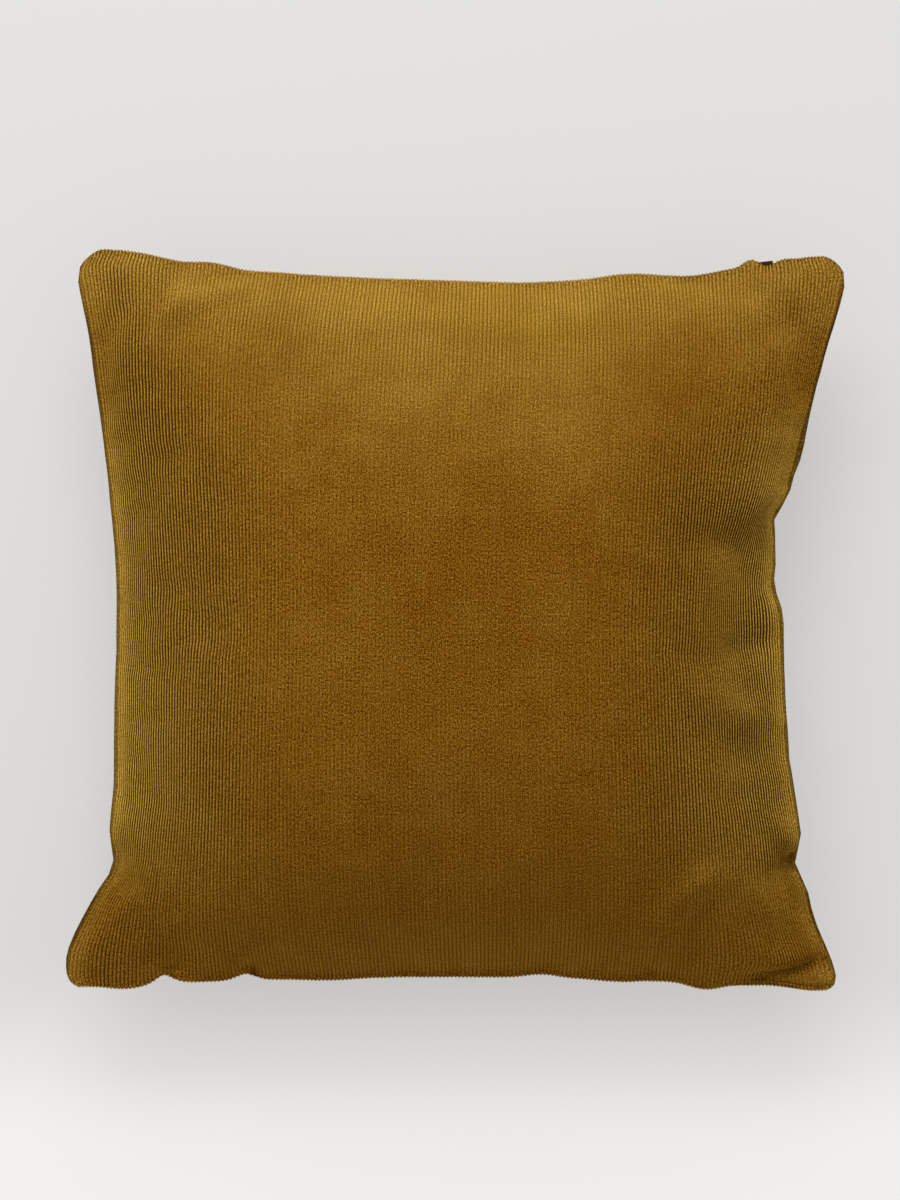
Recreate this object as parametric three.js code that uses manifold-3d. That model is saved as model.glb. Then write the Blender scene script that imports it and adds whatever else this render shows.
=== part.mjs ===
// A square scatter cushion in a corduroy cover, lying on its back with its face up.
//
// The front panel, the back panel and the filling between them are one closed solid: two crowned faces that
// meet in a knife-edge seam. The filling draws the seam in between its four corners, which stay flat as ears.
// +Y points to the cushion's top edge and +X to its right side, and the origin is in the middle of the flat
// spot that it lies on. The end of the zip tape shows in the top edge's seam.

import * as THREE from "three";
import { mergeVertices } from "three/addons/utils/BufferGeometryUtils.js";
import Module from "manifold-3d";

// Driving sizes, in millimetres
const PANEL_SIDE = 450; // each panel laid flat, from seam to seam
const SEAM_HEIGHT = 65; // the seam above the surface that the cushion lies on
const FRONT_CROWN = 77; // the middle of the front above the seam
const BACK_CROWN = 69; // the same below the seam, before the surface flattens it
const BACK_SHOULDER = 1.35; // how much steeper the back leaves the seam than the front does
const BACK_FLAT_BLEND = 0.2; // how softly the back turns into its flat spot, as a share of its crown
const CROWN_POWER = 2.5; // 2 is a plain dome, and more is squarer in the shoulder
const EAR_DROOP = 7; // how far the corners hang below the rest of the seam
const EAR_POWER = 4; // how closely the droop keeps to the corners

// How much further apart the cloth's places lie in plan in the middle of a panel than on average, because
// the steep sides take up cloth
const FULL_ACROSS = 0.178;
const FULL_ALONG = 0.12;

// Wales run along Y. The cover has 200 at 2.25 mm, and each rib raised on the front stands for two of them.
const RIBS = 100;
const RIB_HEIGHT = 0.8;
const RIB_FADE = 9; // how far from the seam a rib has its full height

// The seam's corners, sharp, and how far before each of them the seam begins to turn
const BOTTOM_LEFT = { x: -226, y: -213.9, round: 10 };
const BOTTOM_RIGHT = { x: 224.3, y: -215.6, round: 9.5 };
const TOP_LEFT = { x: -221, y: 215.3, round: 18 };
const TOP_RIGHT = { x: 227.5, y: 212.5, round: 16 };

// How far the filling draws the middle of each side in from the line between its corners
const LEFT_DRAW = 27.5;
const RIGHT_DRAW = 35.5;
const BOTTOM_DRAW = 8;
const TOP_DRAW = 17;

// The lobes and notches of each side of the seam: the place along the side, how far the seam stands out
// there (in, where it is negative), and how far that spreads
const LEFT_LOBES = [
  { at: -190, out: 4.5, spread: 18 },
  { at: -164, out: -0.7, spread: 9 },
  { at: -141, out: -8.6, spread: 16 },
  { at: -108, out: -5.1, spread: 40 },
  { at: 62, out: 0.7, spread: 28 },
  { at: 125, out: 3, spread: 65 },
  { at: 182, out: 0.5, spread: 24 },
];
const RIGHT_LOBES = [
  { at: -164, out: -3.4, spread: 24 },
  { at: -149, out: -1.2, spread: 5 },
  { at: -138, out: -6, spread: 9 },
  { at: -80, out: -0.7, spread: 12 },
  { at: 20, out: -5.5, spread: 13 },
  { at: 40, out: -5.6, spread: 13 },
  { at: 57, out: -7.5, spread: 11 },
  { at: 78, out: -1.6, spread: 6 },
  { at: 98, out: 2.1, spread: 18 },
  { at: 150, out: 4.1, spread: 50 },
  { at: 173, out: 1.6, spread: 18 },
  { at: 190, out: 1.1, spread: 14 },
];
const BOTTOM_LOBES = [
  { at: -188, out: 2.3, spread: 14 },
  { at: -166, out: -5, spread: 7 },
  { at: -119, out: -3.6, spread: 8 },
  { at: -72, out: 1.3, spread: 22 },
  { at: 50, out: -1.9, spread: 14 },
  { at: 92, out: 1, spread: 14 },
  { at: 143, out: 3.2, spread: 12 },
  { at: 180, out: -0.9, spread: 12 },
  { at: 205, out: 1, spread: 10 },
];
const TOP_LOBES = [
  { at: -185, out: 3.4, spread: 25 },
  { at: -136, out: 2.3, spread: 15 },
  { at: -116, out: -0.7, spread: 9 },
  { at: 44, out: -1.6, spread: 36 },
  { at: 98, out: 1.6, spread: 16 },
  { at: 138, out: -0.9, spread: 13 },
  { at: 167, out: 3.3, spread: 5 },
  { at: 177, out: -2.8, spread: 6 },
  { at: 188, out: 2.2, spread: 19 },
];

// The soft troughs and ridges of the front: where each starts, where it ends, how wide it is to each side,
// and how high it stands at its start (sinks, where it is negative). It fades to nothing at its end.
const FRONT_FOLDS = [
  { x: 176, y: 66, toX: 122, toY: 76, width: 18, height: 4 },
  { x: 158, y: 42, toX: 106, toY: 49, width: 11, height: -2.6 },
  { x: 174, y: -13, toX: 140, toY: -20, width: 10, height: -3 },
  { x: 164, y: -55, toX: 118, toY: -31, width: 12, height: 3.8 },
  { x: 162, y: -78, toX: 124, toY: -58, width: 10, height: -1.4 },
  { x: 139, y: -150, toX: 88, toY: -202, width: 9, height: 4 },
  { x: 192, y: 170, toX: 122, toY: 130, width: 12, height: -3.2 },
  { x: -194, y: 202, toX: -166, toY: 138, width: 9, height: 2.5 },
  { x: -158, y: 184, toX: -136, toY: 180, width: 10, height: 3 },
  { x: 198, y: -139, toX: 168, toY: -146, width: 8, height: -3.8 },
  { x: 194, y: -122, toX: 174, toY: -114, width: 11, height: 2.6 },
  { x: 186, y: -148, toX: 208, toY: -190, width: 9, height: -4 },
  { x: 222, y: -203, toX: 162, toY: -204, width: 7, height: -7 },
  { x: -199, y: -140, toX: -180, toY: -126, width: 8, height: -4 },
  { x: -196, y: -152, toX: -212, toY: -186, width: 9, height: -3 },
  { x: -168, y: -198, toX: -146, toY: -178, width: 9, height: -5 },
  { x: -118, y: -196, toX: -106, toY: -178, width: 9, height: -5 },
];
const FOLD_EDGE_FADE = 7; // folds leave the seam itself where it is, and are full this far from it

// The zip tape's end, flat in the top edge's seam: its place along the edge from -1 to 1, the length that
// lies along the seam, its depth in and out of it, its thickness and how much of the depth shows
const ZIP_END = { along: 0.786, length: 11, depth: 4, thickness: 1, shows: 2.8 };
const CLEARANCE = 0.3; // between the tape and the cushion all round

// Steps of the faces
const FRONT_COLUMNS = 2 * RIBS;
const BACK_COLUMNS = 40;
const ROWS = 22;
const ROW_CROWDING = 0.4; // how much closer the rows lie at the top and bottom edges

const HALF_PANEL = PANEL_SIDE / 2;
const ROUND_POWER = 1.4; // 1 cuts a corner off straight, and 2 turns it as an arc
const ROUND_INSET = 1 - 0.5 ** (1 / ROUND_POWER); // how far it then lies inside the sharp one, in radii
const LOBE_DEPTH = 1.4; // how far into the panel a lobe is felt, in spreads
const ROUND_DEPTH = 2; // the same for a turned corner, in radii
const BIG = 700; // wider than the cushion
const WELD = 1e-3; // points closer than this are one
const SLOPE_STEP = 1e-3; // between the places from which a slope is worked out, as a share of half a panel

const lerp = THREE.MathUtils.lerp;

function bell(distance) {
  return Math.exp(-distance * distance);
}

function crown(place) {
  return 1 - Math.abs(place) ** CROWN_POWER;
}

// The lower of two heights, blended over a width
function softMin(a, b, blend) {
  const h = Math.max(blend - Math.abs(a - b), 0);
  return Math.min(a, b) - (h * h) / (4 * blend);
}

// One side of the seam, from its first corner to its last, along one axis and reaching out along the other
function makeSide(first, last, along, out, draw, lobes) {
  return {
    sharp: [first[along], last[along]],
    round: [first.round, last.round],
    starts: first[along] + ROUND_INSET * first.round,
    ends: last[along] - ROUND_INSET * last.round,
    reach: [Math.abs(first[out]), Math.abs(last[out])],
    draw,
    lobes,
  };
}

const LEFT = makeSide(BOTTOM_LEFT, TOP_LEFT, "y", "x", LEFT_DRAW, LEFT_LOBES);
const RIGHT = makeSide(BOTTOM_RIGHT, TOP_RIGHT, "y", "x", RIGHT_DRAW, RIGHT_LOBES);
const BOTTOM = makeSide(BOTTOM_LEFT, BOTTOM_RIGHT, "x", "y", BOTTOM_DRAW, BOTTOM_LOBES);
const TOP = makeSide(TOP_LEFT, TOP_RIGHT, "x", "y", TOP_DRAW, TOP_LOBES);

// How far out a side's smooth bow lies, at a place from -1 to 1 along it
function bow(side, place) {
  return lerp(side.reach[0], side.reach[1], (place + 1) / 2) - side.draw * (1 - place * place);
}

// How far the turned corner lies inside the sharp one, at a distance from it along the side
function roundInset(fromSharp, radius) {
  if (fromSharp >= radius) return 0;
  return radius - (radius ** ROUND_POWER - (radius - fromSharp) ** ROUND_POWER) ** (1 / ROUND_POWER);
}

// What a side's lobes, notches and round corners add to its bow, felt less and less deeper into the panel
function detail(side, place, depth) {
  const along = lerp(side.starts, side.ends, (place + 1) / 2);
  let sum = 0;
  for (const { at, out, spread } of side.lobes)
    sum += out * bell((along - at) / spread) * bell(depth / (LOBE_DEPTH * spread));
  sum -=
    roundInset(along - side.sharp[0], side.round[0]) * bell(depth / (ROUND_DEPTH * side.round[0]));
  sum -=
    roundInset(side.sharp[1] - along, side.round[1]) * bell(depth / (ROUND_DEPTH * side.round[1]));
  return sum;
}

// A place on a panel, s across and t along from -1 to 1 between the seams, as it lies in plan
function plan(s, t) {
  const p = s * (1 + FULL_ACROSS * (1 - s * s) * crown(t));
  const q = t * (1 + FULL_ALONG * (1 - t * t) * crown(s));
  const x =
    lerp(-bow(LEFT, q), bow(RIGHT, q), (p + 1) / 2) -
    detail(LEFT, q, (1 + p) * HALF_PANEL) +
    detail(RIGHT, q, (1 - p) * HALF_PANEL);
  const y =
    lerp(-bow(BOTTOM, p), bow(TOP, p), (q + 1) / 2) -
    detail(BOTTOM, p, (1 + q) * HALF_PANEL) +
    detail(TOP, p, (1 - q) * HALF_PANEL);
  return { x, y };
}

function seamHeight(s, t) {
  return SEAM_HEIGHT - EAR_DROOP * Math.abs(s * t) ** EAR_POWER;
}

// How far the front's folds raise or sink it at a place in plan
function foldHeight(x, y) {
  let sum = 0;
  for (const fold of FRONT_FOLDS) {
    const runX = fold.toX - fold.x;
    const runY = fold.toY - fold.y;
    const along = ((x - fold.x) * runX + (y - fold.y) * runY) / (runX * runX + runY * runY);
    const held = THREE.MathUtils.clamp(along, 0, 1);
    const distance = Math.hypot(x - fold.x - held * runX, y - fold.y - held * runY);
    sum += fold.height * (1 - held) * bell(distance / fold.width);
  }
  return sum;
}

// 0 at the seam and 1 from a given distance of cloth inside it
function inside(s, t, distance) {
  const nearest = (1 - Math.max(Math.abs(s), Math.abs(t))) * HALF_PANEL;
  return THREE.MathUtils.smoothstep(nearest, 0, distance);
}

function frontPoint(s, t) {
  const { x, y } = plan(s, t);
  const z =
    seamHeight(s, t) +
    FRONT_CROWN * crown(s) * crown(t) +
    foldHeight(x, y) * inside(s, t, FOLD_EDGE_FADE);
  return new THREE.Vector3(x, y, z);
}

function backPoint(s, t) {
  const { x, y } = plan(s, t);
  const fill = softMin(BACK_SHOULDER * crown(s) * crown(t), 1, BACK_FLAT_BLEND);
  return new THREE.Vector3(x, y, seamHeight(s, t) - BACK_CROWN * Math.max(fill, 0));
}

function frontNormal(s, t) {
  const across = frontPoint(s + SLOPE_STEP, t).sub(frontPoint(s - SLOPE_STEP, t));
  const along = frontPoint(s, t + SLOPE_STEP).sub(frontPoint(s, t - SLOPE_STEP));
  return across.cross(along).normalize();
}

// The front with its ribs: every other column of points is a crest
function ribbedPoint(s, t) {
  const column = Math.round(((s + 1) / 2) * FRONT_COLUMNS);
  const point = frontPoint(s, t);
  const height = RIB_HEIGHT * inside(s, t, RIB_FADE);
  if (column % 2 === 0 || height === 0) return point;
  return point.addScaledVector(frontNormal(s, t), height);
}

function rowPlace(row) {
  const even = (2 * row) / ROWS - 1;
  return even * (1 + ROW_CROWDING * (1 - even * even));
}

function pointRow(pointAt, t, columns) {
  return Array.from({ length: columns + 1 }, (_, i) => pointAt((2 * i) / columns - 1, t));
}

// Triangles between two rows of points that run the same way, whatever the number of points in each
function stitch(lower, upper, triangles) {
  let i = 0;
  let j = 0;
  const lastLower = lower.length - 1;
  const lastUpper = upper.length - 1;
  while (i < lastLower || j < lastUpper) {
    if (j === lastUpper || (i < lastLower && (i + 1) / lastLower <= (j + 1) / lastUpper)) {
      triangles.push([lower[i], lower[i + 1], upper[j]]);
      i += 1;
    } else {
      triangles.push([lower[i], upper[j + 1], upper[j]]);
      j += 1;
    }
  }
}

// One panel as triangles facing up. Its top and bottom rows have the front's columns, so the panels meet.
function panel(pointAt, columns) {
  const triangles = [];
  const rows = Array.from({ length: ROWS + 1 }, (_, row) =>
    pointRow(pointAt, rowPlace(row), row === 0 || row === ROWS ? FRONT_COLUMNS : columns),
  );
  for (let row = 0; row < ROWS; row += 1) stitch(rows[row], rows[row + 1], triangles);
  return triangles;
}

function geometryOf(triangles) {
  const geometry = new THREE.BufferGeometry().setFromPoints(triangles.flat());
  return mergeVertices(geometry, WELD);
}

const wasm = await Module();
wasm.setup();

function solid(geometry) {
  const bare = geometry.clone();
  bare.deleteAttribute("normal");
  bare.deleteAttribute("uv");
  const merged = mergeVertices(bare, WELD);
  return new wasm.Manifold(
    new wasm.Mesh({
      numProp: 3,
      vertProperties: new Float32Array(merged.attributes.position.array),
      triVerts: new Uint32Array(merged.index.array),
    }),
  );
}

function geometryFrom(manifold) {
  const mesh = manifold.getMesh();
  const geometry = new THREE.BufferGeometry();
  geometry.setAttribute("position", new THREE.BufferAttribute(mesh.vertProperties, 3));
  geometry.setIndex(new THREE.BufferAttribute(mesh.triVerts, 1));
  return geometry;
}

// A box in the top edge's seam where the zip tape ends, larger than the tape by a margin all round. The tape is
// stiffer than the cloth, so it lies along the edge's smooth bow and leaves out the lobes.
function zipBox(margin) {
  const here = plan(ZIP_END.along, 1);
  const halfLength = ZIP_END.length / 2 / HALF_PANEL;
  const rise = bow(TOP, ZIP_END.along + halfLength) - bow(TOP, ZIP_END.along - halfLength);
  const box = new THREE.BoxGeometry(
    ZIP_END.length + 2 * margin,
    ZIP_END.depth + 2 * margin,
    ZIP_END.thickness + 2 * margin,
  );
  box.translate(0, ZIP_END.shows - ZIP_END.depth / 2, 0);
  box.rotateZ(Math.atan2(rise, ZIP_END.length));
  return box.translate(here.x, here.y, seamHeight(ZIP_END.along, 1));
}

function makeCushion() {
  const front = panel(ribbedPoint, FRONT_COLUMNS);
  const back = panel(backPoint, BACK_COLUMNS).map(([a, b, c]) => [a, c, b]);
  const ground = new THREE.BoxGeometry(BIG, BIG, BIG).translate(0, 0, -BIG / 2);
  const shaped = solid(geometryOf([...front, ...back]))
    .subtract(solid(ground))
    .subtract(solid(zipBox(CLEARANCE)));
  const corduroy = new THREE.MeshStandardMaterial({ color: 0x7a5416, roughness: 0.95, metalness: 0 });
  const cushion = new THREE.Mesh(geometryFrom(shaped), corduroy);
  cushion.name = "cushion";
  return cushion;
}

function makeZipEnd() {
  const tape = new THREE.MeshStandardMaterial({ color: 0x3a1d0c, roughness: 0.8, metalness: 0 });
  const zipEnd = new THREE.Mesh(zipBox(0), tape);
  zipEnd.name = "zip_end";
  return zipEnd;
}

const scatterCushion = new THREE.Group();
scatterCushion.add(makeCushion(), makeZipEnd());

export default scatterCushion;
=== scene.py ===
"""A scatter cushion in a fine corduroy cover, lying on its back and seen from straight above.

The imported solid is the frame. The cushion is a closed, padded form on the solid's own sizes: its cover is
settled by cloth simulation, and then gets its wales, its folds and the grooved seam between two rolled edges.
The end of the zip tape lies in the top edge's seam. Sizes here are millimetres until a mesh is made.
"""

import math
from collections import namedtuple

import bpy
import numpy as np
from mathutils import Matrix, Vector


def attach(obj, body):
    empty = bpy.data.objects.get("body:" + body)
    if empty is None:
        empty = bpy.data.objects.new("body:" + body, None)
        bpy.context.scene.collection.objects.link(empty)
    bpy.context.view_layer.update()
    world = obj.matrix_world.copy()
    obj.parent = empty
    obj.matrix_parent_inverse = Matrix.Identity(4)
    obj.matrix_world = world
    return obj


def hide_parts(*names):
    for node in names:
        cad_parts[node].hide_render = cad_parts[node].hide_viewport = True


bl_info = {
    "name": "Corduroy cushion",
    "version": (1, 0, 0),
    "blender": (4, 5, 0),
    "location": "3D View > Sidebar > Cushion",
    "description": "Builds a filled scatter cushion in a ribbed cover, its zip tape end and a pale stage",
    "category": "Object",
}

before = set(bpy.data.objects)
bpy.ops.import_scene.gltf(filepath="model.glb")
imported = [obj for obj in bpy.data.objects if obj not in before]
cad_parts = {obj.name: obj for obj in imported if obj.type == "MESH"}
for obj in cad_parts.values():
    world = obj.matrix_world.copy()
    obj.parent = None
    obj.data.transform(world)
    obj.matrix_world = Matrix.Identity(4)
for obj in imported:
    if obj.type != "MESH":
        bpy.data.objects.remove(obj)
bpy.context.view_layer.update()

MM = 0.001

# Driving sizes of the filled cover, as in the solid
PANEL_SIDE = 450.0
SEAM_HEIGHT = 65.0
FRONT_CROWN = 77.0
BACK_CROWN = 69.0
BACK_SHOULDER = 1.35
BACK_FLAT_BLEND = 0.2
CROWN_POWER = 2.5
EAR_DROOP = 7.0
EAR_POWER = 4.0
FULL_ACROSS = 0.178
FULL_ALONG = 0.12
HALF_PANEL = PANEL_SIDE / 2

Corner = namedtuple("Corner", "x y round")
BOTTOM_LEFT = Corner(-226.0, -213.9, 10)
BOTTOM_RIGHT = Corner(224.3, -215.6, 9.5)
TOP_LEFT = Corner(-221.0, 215.3, 18)
TOP_RIGHT = Corner(227.5, 212.5, 16)

# Lobes and notches of the seam: the place along the side, how far it stands out there, and its spread
Lobe = namedtuple("Lobe", "at out spread")
LEFT_LOBES = (
    Lobe(-190, 4.5, 18),
    Lobe(-164, -0.7, 9),
    Lobe(-141, -8.6, 16),
    Lobe(-108, -5.1, 40),
    Lobe(62, 0.7, 28),
    Lobe(125, 3.0, 65),
    Lobe(182, 0.5, 24),
)
RIGHT_LOBES = (
    Lobe(-164, -3.4, 24),
    Lobe(-149, -1.2, 5),
    Lobe(-138, -6.0, 9),
    Lobe(-80, -0.7, 12),
    Lobe(20, -5.5, 13),
    Lobe(40, -5.6, 13),
    Lobe(57, -7.5, 11),
    Lobe(78, -1.6, 6),
    Lobe(98, 2.1, 18),
    Lobe(150, 4.1, 50),
    Lobe(173, 1.6, 18),
    Lobe(190, 1.1, 14),
)
BOTTOM_LOBES = (
    Lobe(-188, 2.3, 14),
    Lobe(-166, -5, 7),
    Lobe(-119, -3.6, 8),
    Lobe(-72, 1.3, 22),
    Lobe(50, -1.9, 14),
    Lobe(92, 1, 14),
    Lobe(143, 3.2, 12),
    Lobe(180, -0.9, 12),
    Lobe(205, 1, 10),
)
TOP_LOBES = (
    Lobe(-185, 3.4, 25),
    Lobe(-136, 2.3, 15),
    Lobe(-116, -0.7, 9),
    Lobe(44, -1.6, 36),
    Lobe(98, 1.6, 16),
    Lobe(138, -0.9, 13),
    Lobe(167, 3.3, 5),
    Lobe(177, -2.8, 6),
    Lobe(188, 2.2, 19),
)

# A lobe fades into the cloth over LOBE_DEPTH times its spread, and a round corner over ROUND_DEPTH times its
# radius. A corner's curve has the power ROUND_POWER, between a chamfer's 1 and a circle's 2.
LOBE_DEPTH = 1.4
ROUND_POWER = 1.4
ROUND_INSET = 1 - 0.5 ** (1 / ROUND_POWER)
ROUND_DEPTH = 2.0

# Soft troughs and ridges of the front: from, to, half-width and height at the start, fading to the end
Fold = namedtuple("Fold", "x y to_x to_y width height")
FRONT_FOLDS = (
    Fold(176, 66, 122, 76, 18, 4),
    Fold(158, 42, 106, 49, 11, -2.6),
    Fold(174, -13, 140, -20, 10, -3),
    Fold(164, -55, 118, -31, 12, 3.8),
    Fold(162, -78, 124, -58, 10, -1.4),
    Fold(139, -150, 88, -202, 9, 4),
    Fold(192, 170, 122, 130, 12, -3.2),
    Fold(-194, 202, -166, 138, 9, 2.5),
    Fold(-158, 184, -136, 180, 10, 3),
    Fold(198, -139, 168, -146, 8, -3.8),
    Fold(194, -122, 174, -114, 11, 2.6),
    Fold(186, -148, 208, -190, 9, -4),
    Fold(222, -203, 162, -204, 7, -7),
    Fold(-199, -140, -180, -126, 8, -4),
    Fold(-196, -152, -212, -186, 9, -3),
    Fold(-168, -198, -146, -178, 9, -5),
    Fold(-118, -196, -106, -178, 9, -5),
)
FOLD_EDGE_FADE = 7.0

# Places beside the right seam where the wales slide towards it, or away where the shift is negative: the
# place along the side, its depth of cloth from the seam, how far the slide spreads each way, and the shift
Slide = namedtuple("Slide", "along depth length width shift")
RIGHT_SLIDES = (
    Slide(98, 32, 44, 27, 9),
    Slide(4, 34, 44, 28, -9),
    Slide(-190, 40, 30, 30, 6),
)
SLIDE_FADE = 18.0

# Fine creases that run in from the seam: from, to, half-width, and the height on the left and the right of
# the way there, fading to the end. The ridge and the trough lie beside the line by a share of the half-width.
Crease = namedtuple("Crease", "x y to_x to_y width left right")
CREASES = (
    Crease(224, -198, 160, -207, 4, -7, 3),
    Crease(199, -136, 184, -131, 4, -5, 3),
    Crease(184, -131, 179, -110, 5, -2, 2.5),
    Crease(182, -130, 195, -168, 4, -3, 1.5),
    Crease(208, -182, 196, -162, 5, 2, -1),
    Crease(191, -58, 185, -86, 3.5, -2, 1.5),
    Crease(188, 22, 180, -20, 7, -2, 1),
    Crease(-172, -205, -150, -188, 5, 2.5, -2),
    Crease(-122, -204, -110, -186, 5, 2.5, -2),
    Crease(-212, -184, -196, -158, 6, -1.5, 1.5),
)
CREASE_BESIDE = 0.8
CREASE_FADE = 3.0

# Smooth seeded unevenness: the most it comes to, its seed, and its steps up and across a panel
Uneven = namedtuple("Uneven", "most seed steps")
LUMPS = Uneven(1.2, 11, (9, 8))
LUMPS_FADE = (5.0, 60.0)
WALE_BY_WALE = Uneven(0.12, 3, (40, 200))
WALE_PATCHES = Uneven(0.10, 4, (9, 9))
LIGHT_ABOVE_WOBBLE = Uneven(0.12, 21, (7, 9))

# The cover's wales. Each is three points wide: its valley and the two shoulders of its pile.
WALES = 200
WALE_SHOULDERS = (0.0, 0.25, 0.75)
WALE_RISE = (0.0, 1.0, 1.0)
WALE_EDGE_FADE = 0.5

# Rows of points: distances of cloth from the bottom and top seams, and the number between them
BOTTOM_ROWS = (0.0, 0.5, 1.1, 1.9, 3.0, 4.6, 6.6, 8.8, 11.2, 13.8, 16.6, 19.6, 23.0)
TOP_ROWS = (0.0, 0.5, 1.1, 1.9, 3.0, 4.6, 7.0, 10.5, 15.5)
MIDDLE_ROWS = 90
BACK_STEP = 2  # rows of the front for each row of the back

# The seam: how far the cloth of the two rolled edges reaches, and how far the front panel's edge lies inside
# the back panel's along the sides, with the stretches where the back panel shows more
GROOVE_REACH = 1.3
INSET_REACH = 9.0
END_ROLL = 1.5
BACK_SIDE_ROLL = 2.3
BACK_END_ROLL = 0.9
BACK_ROLL_REACH = 4.0
SIDE_INSET = 0.3
SIDE_TURN = (-0.02, 0.06)
FRONT_EDGE = 0.4
BACK_EDGE = 2.9
LEFT_INSETS = (Lobe(-70, 0.9, 36), Lobe(20, 0.6, 40), Lobe(-165, 0.5, 18))
RIGHT_INSETS = (Lobe(96, 2.6, 18), Lobe(10, 0.8, 14))
TOP_INSETS = (Lobe(128, 1.6, 22), Lobe(194, 0.7, 6))

# The way out of the seam is blended from the four sides by their nearness, to a power
NEARNESS_POWER = 4
NEARNESS_SOFTENING = 0.3
RUN_STEP = 1e-4

# The shade of the seam: how far it reaches on the front, and how much further for each mm of inset, and on
# the back, where the edge that shows past the front is shaded too
SHADE_REACH = 0.7
SHADE_REACH_PER_INSET = 0.4
BACK_SHADE_REACH = 0.9
BACK_EDGE_SHADE = 0.6
BACK_EDGE_SHADE_REACH = 4.0

# Looks that vary over a panel: a fade grows from none to its full amount between two places. Places run from
# 0 in the middle of a panel to 1 at a seam, and a slant adds to the amount towards the right.
Fade = namedtuple("Fade", "amount start full")

# How open the valleys between wales are, and so how much painted shade darkens them
VALLEY_EVERYWHERE = 0.12
VALLEY_BEND = Fade(0.84, 0.30, 0.66)  # where the cloth bends down beside the flat middle
VALLEY_BEND_MIDDLE = -0.01
VALLEY_BEND_LATER = Fade(0.10, 0.3, 0.7)  # how much further out that is, towards the top edge
VALLEY_STEEP = Fade(0.6, 0.66, 0.92)
VALLEY_SHUT_ABOVE = Fade(0.55, 0.5, 0.85)
VALLEY_SHUT_ABOVE_SLANT = 0.1
VALLEY_SHUT_ABOVE_SOONER = 0.3
VALLEY_SHUT_BELOW = Fade(0.6, 0.45, 0.78)
VALLEY_SHUT_BELOW_SLANT = 0.06
VALLEY_TOP = Fade(0.42, 0.45, 0.85)
VALLEY_BOTTOM = Fade(0.22, 0.70, 0.95)
VALLEY_FLANK_SHUT = 0.55
FLANK_REACH = 13.0
VALLEY_SHADE_PER_SLOPE = -1.1
VALLEY_SLOPES = (-0.35, 0.6)

# How far the colour goes towards the raised nap colour, as painted light and shade: lighter above and beside,
# darker below
NAP_EVERYWHERE = 0.07
LIGHT_ABOVE = Fade(0.22, 0.2, 0.75)
LIGHT_ABOVE_SIDES = Fade(0.95, 0.2, 0.6)  # how much of it is missing beside the middle
LIGHT_ABOVE_EARS = Fade(0.75, 0.6, 0.85)  # how much less is missing near the top edge
LIGHT_TOP_EDGE = Fade(0.24, 0.76, 0.95)
SHADE_BELOW = Fade(0.12, 0.3, 0.9)
LESS_LIGHT_TOP_RIGHT = Fade(0.12, 0.72, 0.92)
LESS_LIGHT_TOP_RIGHT_RISE = Fade(1.0, 0.4, 0.7)
LIGHT_SIDES = Fade(0.17, 0.42, 0.85)
LIGHT_SIDES_SLANT = 0.04
LIGHT_SIDES_ABOVE = Fade(0.9, 0.05, 0.45)
LIGHT_SIDES_BELOW = Fade(0.6, 0.55, 0.80)
LIGHT_RIGHT_PATCH = Fade(0.10, 0.74, 0.88)
LIGHT_RIGHT_PATCH_PLACE = 0.42
LIGHT_RIGHT_PATCH_SPREAD = 0.25
LIGHT_PER_SLOPE = 0.2
LIGHT_SLOPES = (-0.5, 0.6)
SLOPE_STEP = 1.0

# Painted sheen on the flanks, in a band beside each side seam, and in the lower ears
FLANK_SHEEN = 0.55
FLANK_SHEEN_SLANT = -0.14
FLANK_DEPTH = 7.0
FLANK_SPREAD = 27.0
FLANK_SPREAD_BELOW = Fade(9.0, 0.0, 0.4)
FLANK_TOP = Fade(1.0, 0.335, 0.75)
FLANK_TOP_SLANT = -0.05
FLANK_BOTTOM = Fade(1.0, 0.45, 0.72)
FLANK_EDGE_LESS = 0.3
FLANK_EDGE_REACH = 3.0
FLANK_LEFT_MORE = Fade(0.2, 0.0, 0.3)
EAR_SHEEN = Fade(0.55, 0.45, 0.70)
EAR_SHEEN_DEPTH = 4.0
EAR_SHEEN_SPREAD = 6.0

# A wale's painted shade and highlight: 0 is its crest and 0.5 its valley. Open valleys are wider and get
# painted shade, and open crests get a painted highlight.
VALLEY_WIDENING = 0.10
VALLEY_EDGE = (0.28, 0.50)
CREST_EDGE = (0.05, 0.34)
CREST_HIGHLIGHT = 0.15

# What makes the nap uneven, by how much: patches of the panel, small crushed spots, streaks along the wales
# and the tufts of the pile. The first two are livelier where the nap and its painted light are stronger.
PATCHES = 0.28
CRUSHED = 0.27
STREAKS = 0.18
TUFTS = 0.62
LIVELY_BASE = 0.7
LIVELY_PER_NAP_AND_LIGHT = 2.4

# The tufts' light and dark, the least and what they add, and how dark the seam's shade is
SPECKLE_LEAST = 0.35
SPECKLE = 1.3
SEAM_DARKNESS = 0.85
SEAM_GLOSS = 0.15

# Steps of the cover that is settled, the simulation's length and its cloth, and what is held still
SETTLE_STEPS = 96
SETTLE_FRAMES = 20
SETTLING_CLOTH = {
    "quality": 6,
    "mass": 0.3,
    "tension_stiffness": 15,
    "compression_stiffness": 10,
    "shear_stiffness": 5,
    "bending_stiffness": 0.4,
    "use_pressure": True,
    "uniform_pressure_force": 4,
    "shrink_min": -0.012,
}
HELD_SEAM_DEPTH = 1e-6
HELD_BACK_HEIGHT = 1.0

# The zip tape's edges, in metres
TAPE_WELD = 1e-5
TAPE_BEVEL = 0.00035

# The stage, in metres
FLOOR_SIZE = 12.0
FLOOR_GLOW_NEAR = Fade(0.18, 0.20, 0.32)
KEY_SIZE = (1.6, 1.0)
KEY_PLACE = (-0.3, 1.72, 1.42)
SKY_RISE = (-0.1, 0.8)
SKY_BELOW = 0.15

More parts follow.
